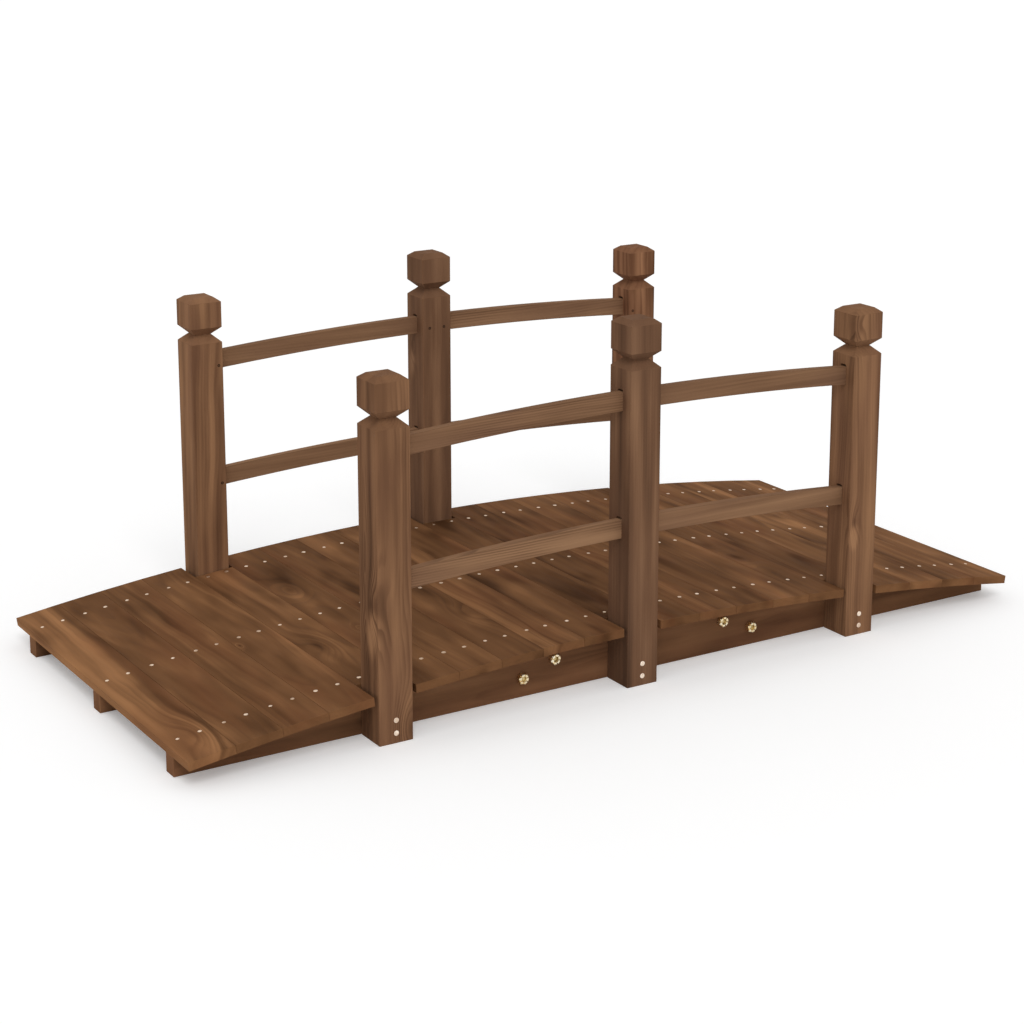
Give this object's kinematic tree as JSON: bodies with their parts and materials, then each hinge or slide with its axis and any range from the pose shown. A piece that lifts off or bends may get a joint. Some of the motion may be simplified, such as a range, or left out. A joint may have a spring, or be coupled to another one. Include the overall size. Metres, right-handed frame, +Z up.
{
  "type": "moon bridge",
  "caption": "Small arched timber garden bridge: cross boards on arched stringers, with capped posts and arched rails on both sides.",
  "frame": {"origin": "on the ground, in the middle of the bridge's footprint", "axes": "+X along the walkway, towards the right-hand end in the picture; +Y across the bridge, away from the camera's side; +Z up"},
  "size_m": [1.5014, 0.68, 0.571],
  "materials": {
    "post_wood": "dark brown stain, matt",
    "rail_wood": "dark brown stain, matt",
    "stringer_wood": "dark brown stain, matt",
    "deck_wood": "dark brown stain, matt",
    "fastener_metal": "yellow passivated zinc on steel, satin"
  },
  "bodies": {
    "root": {"front_left_post": "post_wood", "front_middle_post": "post_wood", "front_right_post": "post_wood", "rear_left_post": "post_wood", "rear_middle_post": "post_wood", "rear_right_post": "post_wood", "front_left_upper_rail": "rail_wood", "front_left_lower_rail": "rail_wood", "front_right_upper_rail": "rail_wood", "front_right_lower_rail": "rail_wood", "rear_left_upper_rail": "rail_wood", "rear_left_lower_rail": "rail_wood", "rear_right_upper_rail": "rail_wood", "rear_right_lower_rail": "rail_wood", "front_left_stringer": "stringer_wood", "front_right_stringer": "stringer_wood", "middle_left_stringer": "stringer_wood", "middle_right_stringer": "stringer_wood", "rear_left_stringer": "stringer_wood", "rear_right_stringer": "stringer_wood", "front_splice_plate": "stringer_wood", "middle_splice_plate": "stringer_wood", "rear_splice_plate": "stringer_wood", "deck_board_01": "deck_wood", "deck_board_02": "deck_wood", "deck_board_03": "deck_wood", "deck_board_04": "deck_wood", "deck_board_05": "deck_wood", "deck_board_06": "deck_wood", "deck_board_07": "deck_wood", "deck_board_08": "deck_wood", "deck_board_09": "deck_wood", "deck_board_10": "deck_wood", "deck_board_11": "deck_wood", "deck_board_12": "deck_wood", "deck_board_13": "deck_wood", "deck_board_14": "deck_wood", "deck_board_15": "deck_wood", "deck_board_16": "deck_wood", "deck_board_17": "deck_wood", "deck_board_18": "deck_wood", "deck_board_19": "deck_wood", "deck_board_20": "deck_wood", "deck_board_21": "deck_wood"}
  },
  "joints": []
}
